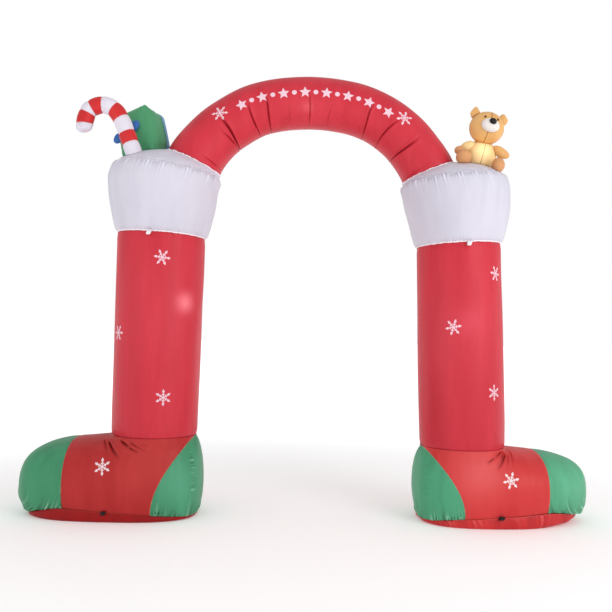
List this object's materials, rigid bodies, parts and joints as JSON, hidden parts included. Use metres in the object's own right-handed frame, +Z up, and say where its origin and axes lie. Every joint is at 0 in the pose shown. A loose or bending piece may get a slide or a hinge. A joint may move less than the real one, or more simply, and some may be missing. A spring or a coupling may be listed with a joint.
{
  "type": "inflatable arch",
  "caption": "Free-standing inflatable walk-through arch: tall booted legs with gathered cuffs under a curved tube, dressed with a hooked cane, a gift box and a sitting toy bear.",
  "frame": {"origin": "middle of the footprint, on the ground under the walkway", "axes": "+X to the bear's side, across the walkway; +Y to the back; +Z up. The front with the belly of the bear faces -Y."},
  "size_m": [3.0622, 0.599, 2.3941],
  "materials": {
    "crimson_nylon": "coated nylon cloth, soft sheen",
    "scarlet_nylon": "coated nylon cloth, soft sheen",
    "dark_red_nylon": "coated nylon cloth, soft sheen",
    "green_nylon": "coated nylon cloth, soft sheen",
    "white_nylon": "coated nylon cloth, soft sheen",
    "cane_red_nylon": "coated nylon cloth, soft sheen",
    "box_green_nylon": "coated nylon cloth, soft sheen",
    "ribbon_blue_nylon": "coated nylon cloth, soft sheen",
    "bow_blue_nylon": "coated nylon cloth, soft sheen",
    "bear_tan_nylon": "coated nylon cloth, soft sheen",
    "belly_yellow_nylon": "thin light cloth that a lamp shines through",
    "muzzle_white_nylon": "coated nylon cloth, soft sheen",
    "white_webbing": "woven strap, matt",
    "black_webbing": "woven strap or felt, matt"
  },
  "bodies": {
    "root": {"arch_tube": "crimson_nylon", "cuff_band_left": "white_nylon", "cuff_band_right": "white_nylon", "cuff_top_left": "white_nylon", "cuff_top_right": "white_nylon", "leg_left": "crimson_nylon", "leg_right": "crimson_nylon", "toe_left": "green_nylon", "toe_right": "green_nylon", "vamp_left": "scarlet_nylon", "vamp_right": "scarlet_nylon", "heel_left": "green_nylon", "heel_right": "green_nylon", "sole_left": "dark_red_nylon", "sole_right": "dark_red_nylon", "cane_1_white": "white_nylon", "cane_2_red": "cane_red_nylon", "cane_3_white": "white_nylon", "cane_4_red": "cane_red_nylon", "cane_5_white": "white_nylon", "cane_6_red": "cane_red_nylon", "cane_7_white": "white_nylon", "cane_8_red": "cane_red_nylon", "cane_9_white": "white_nylon", "gift_box": "box_green_nylon", "gift_ribbon": "ribbon_blue_nylon", "gift_bow_left": "bow_blue_nylon", "gift_bow_right": "bow_blue_nylon", "gift_bow_knot": "bow_blue_nylon", "bear_head": "bear_tan_nylon", "bear_muzzle": "muzzle_white_nylon", "bear_nose": "black_webbing", "bear_eye_left": "black_webbing", "bear_eye_right": "black_webbing", "bear_ear_left": "bear_tan_nylon", "bear_ear_right": "bear_tan_nylon", "bear_back": "bear_tan_nylon", "bear_belly": "belly_yellow_nylon", "bear_arm_left": "belly_yellow_nylon", "bear_hand_left": "bear_tan_nylon", "bear_arm_right": "bear_tan_nylon", "bear_foot_left": "bear_tan_nylon", "bear_foot_right": "bear_tan_nylon", "tether_loop_left": "white_webbing", "tether_loop_right": "white_webbing", "peg_loop_left": "black_webbing", "peg_loop_right": "black_webbing"}
  },
  "joints": []
}
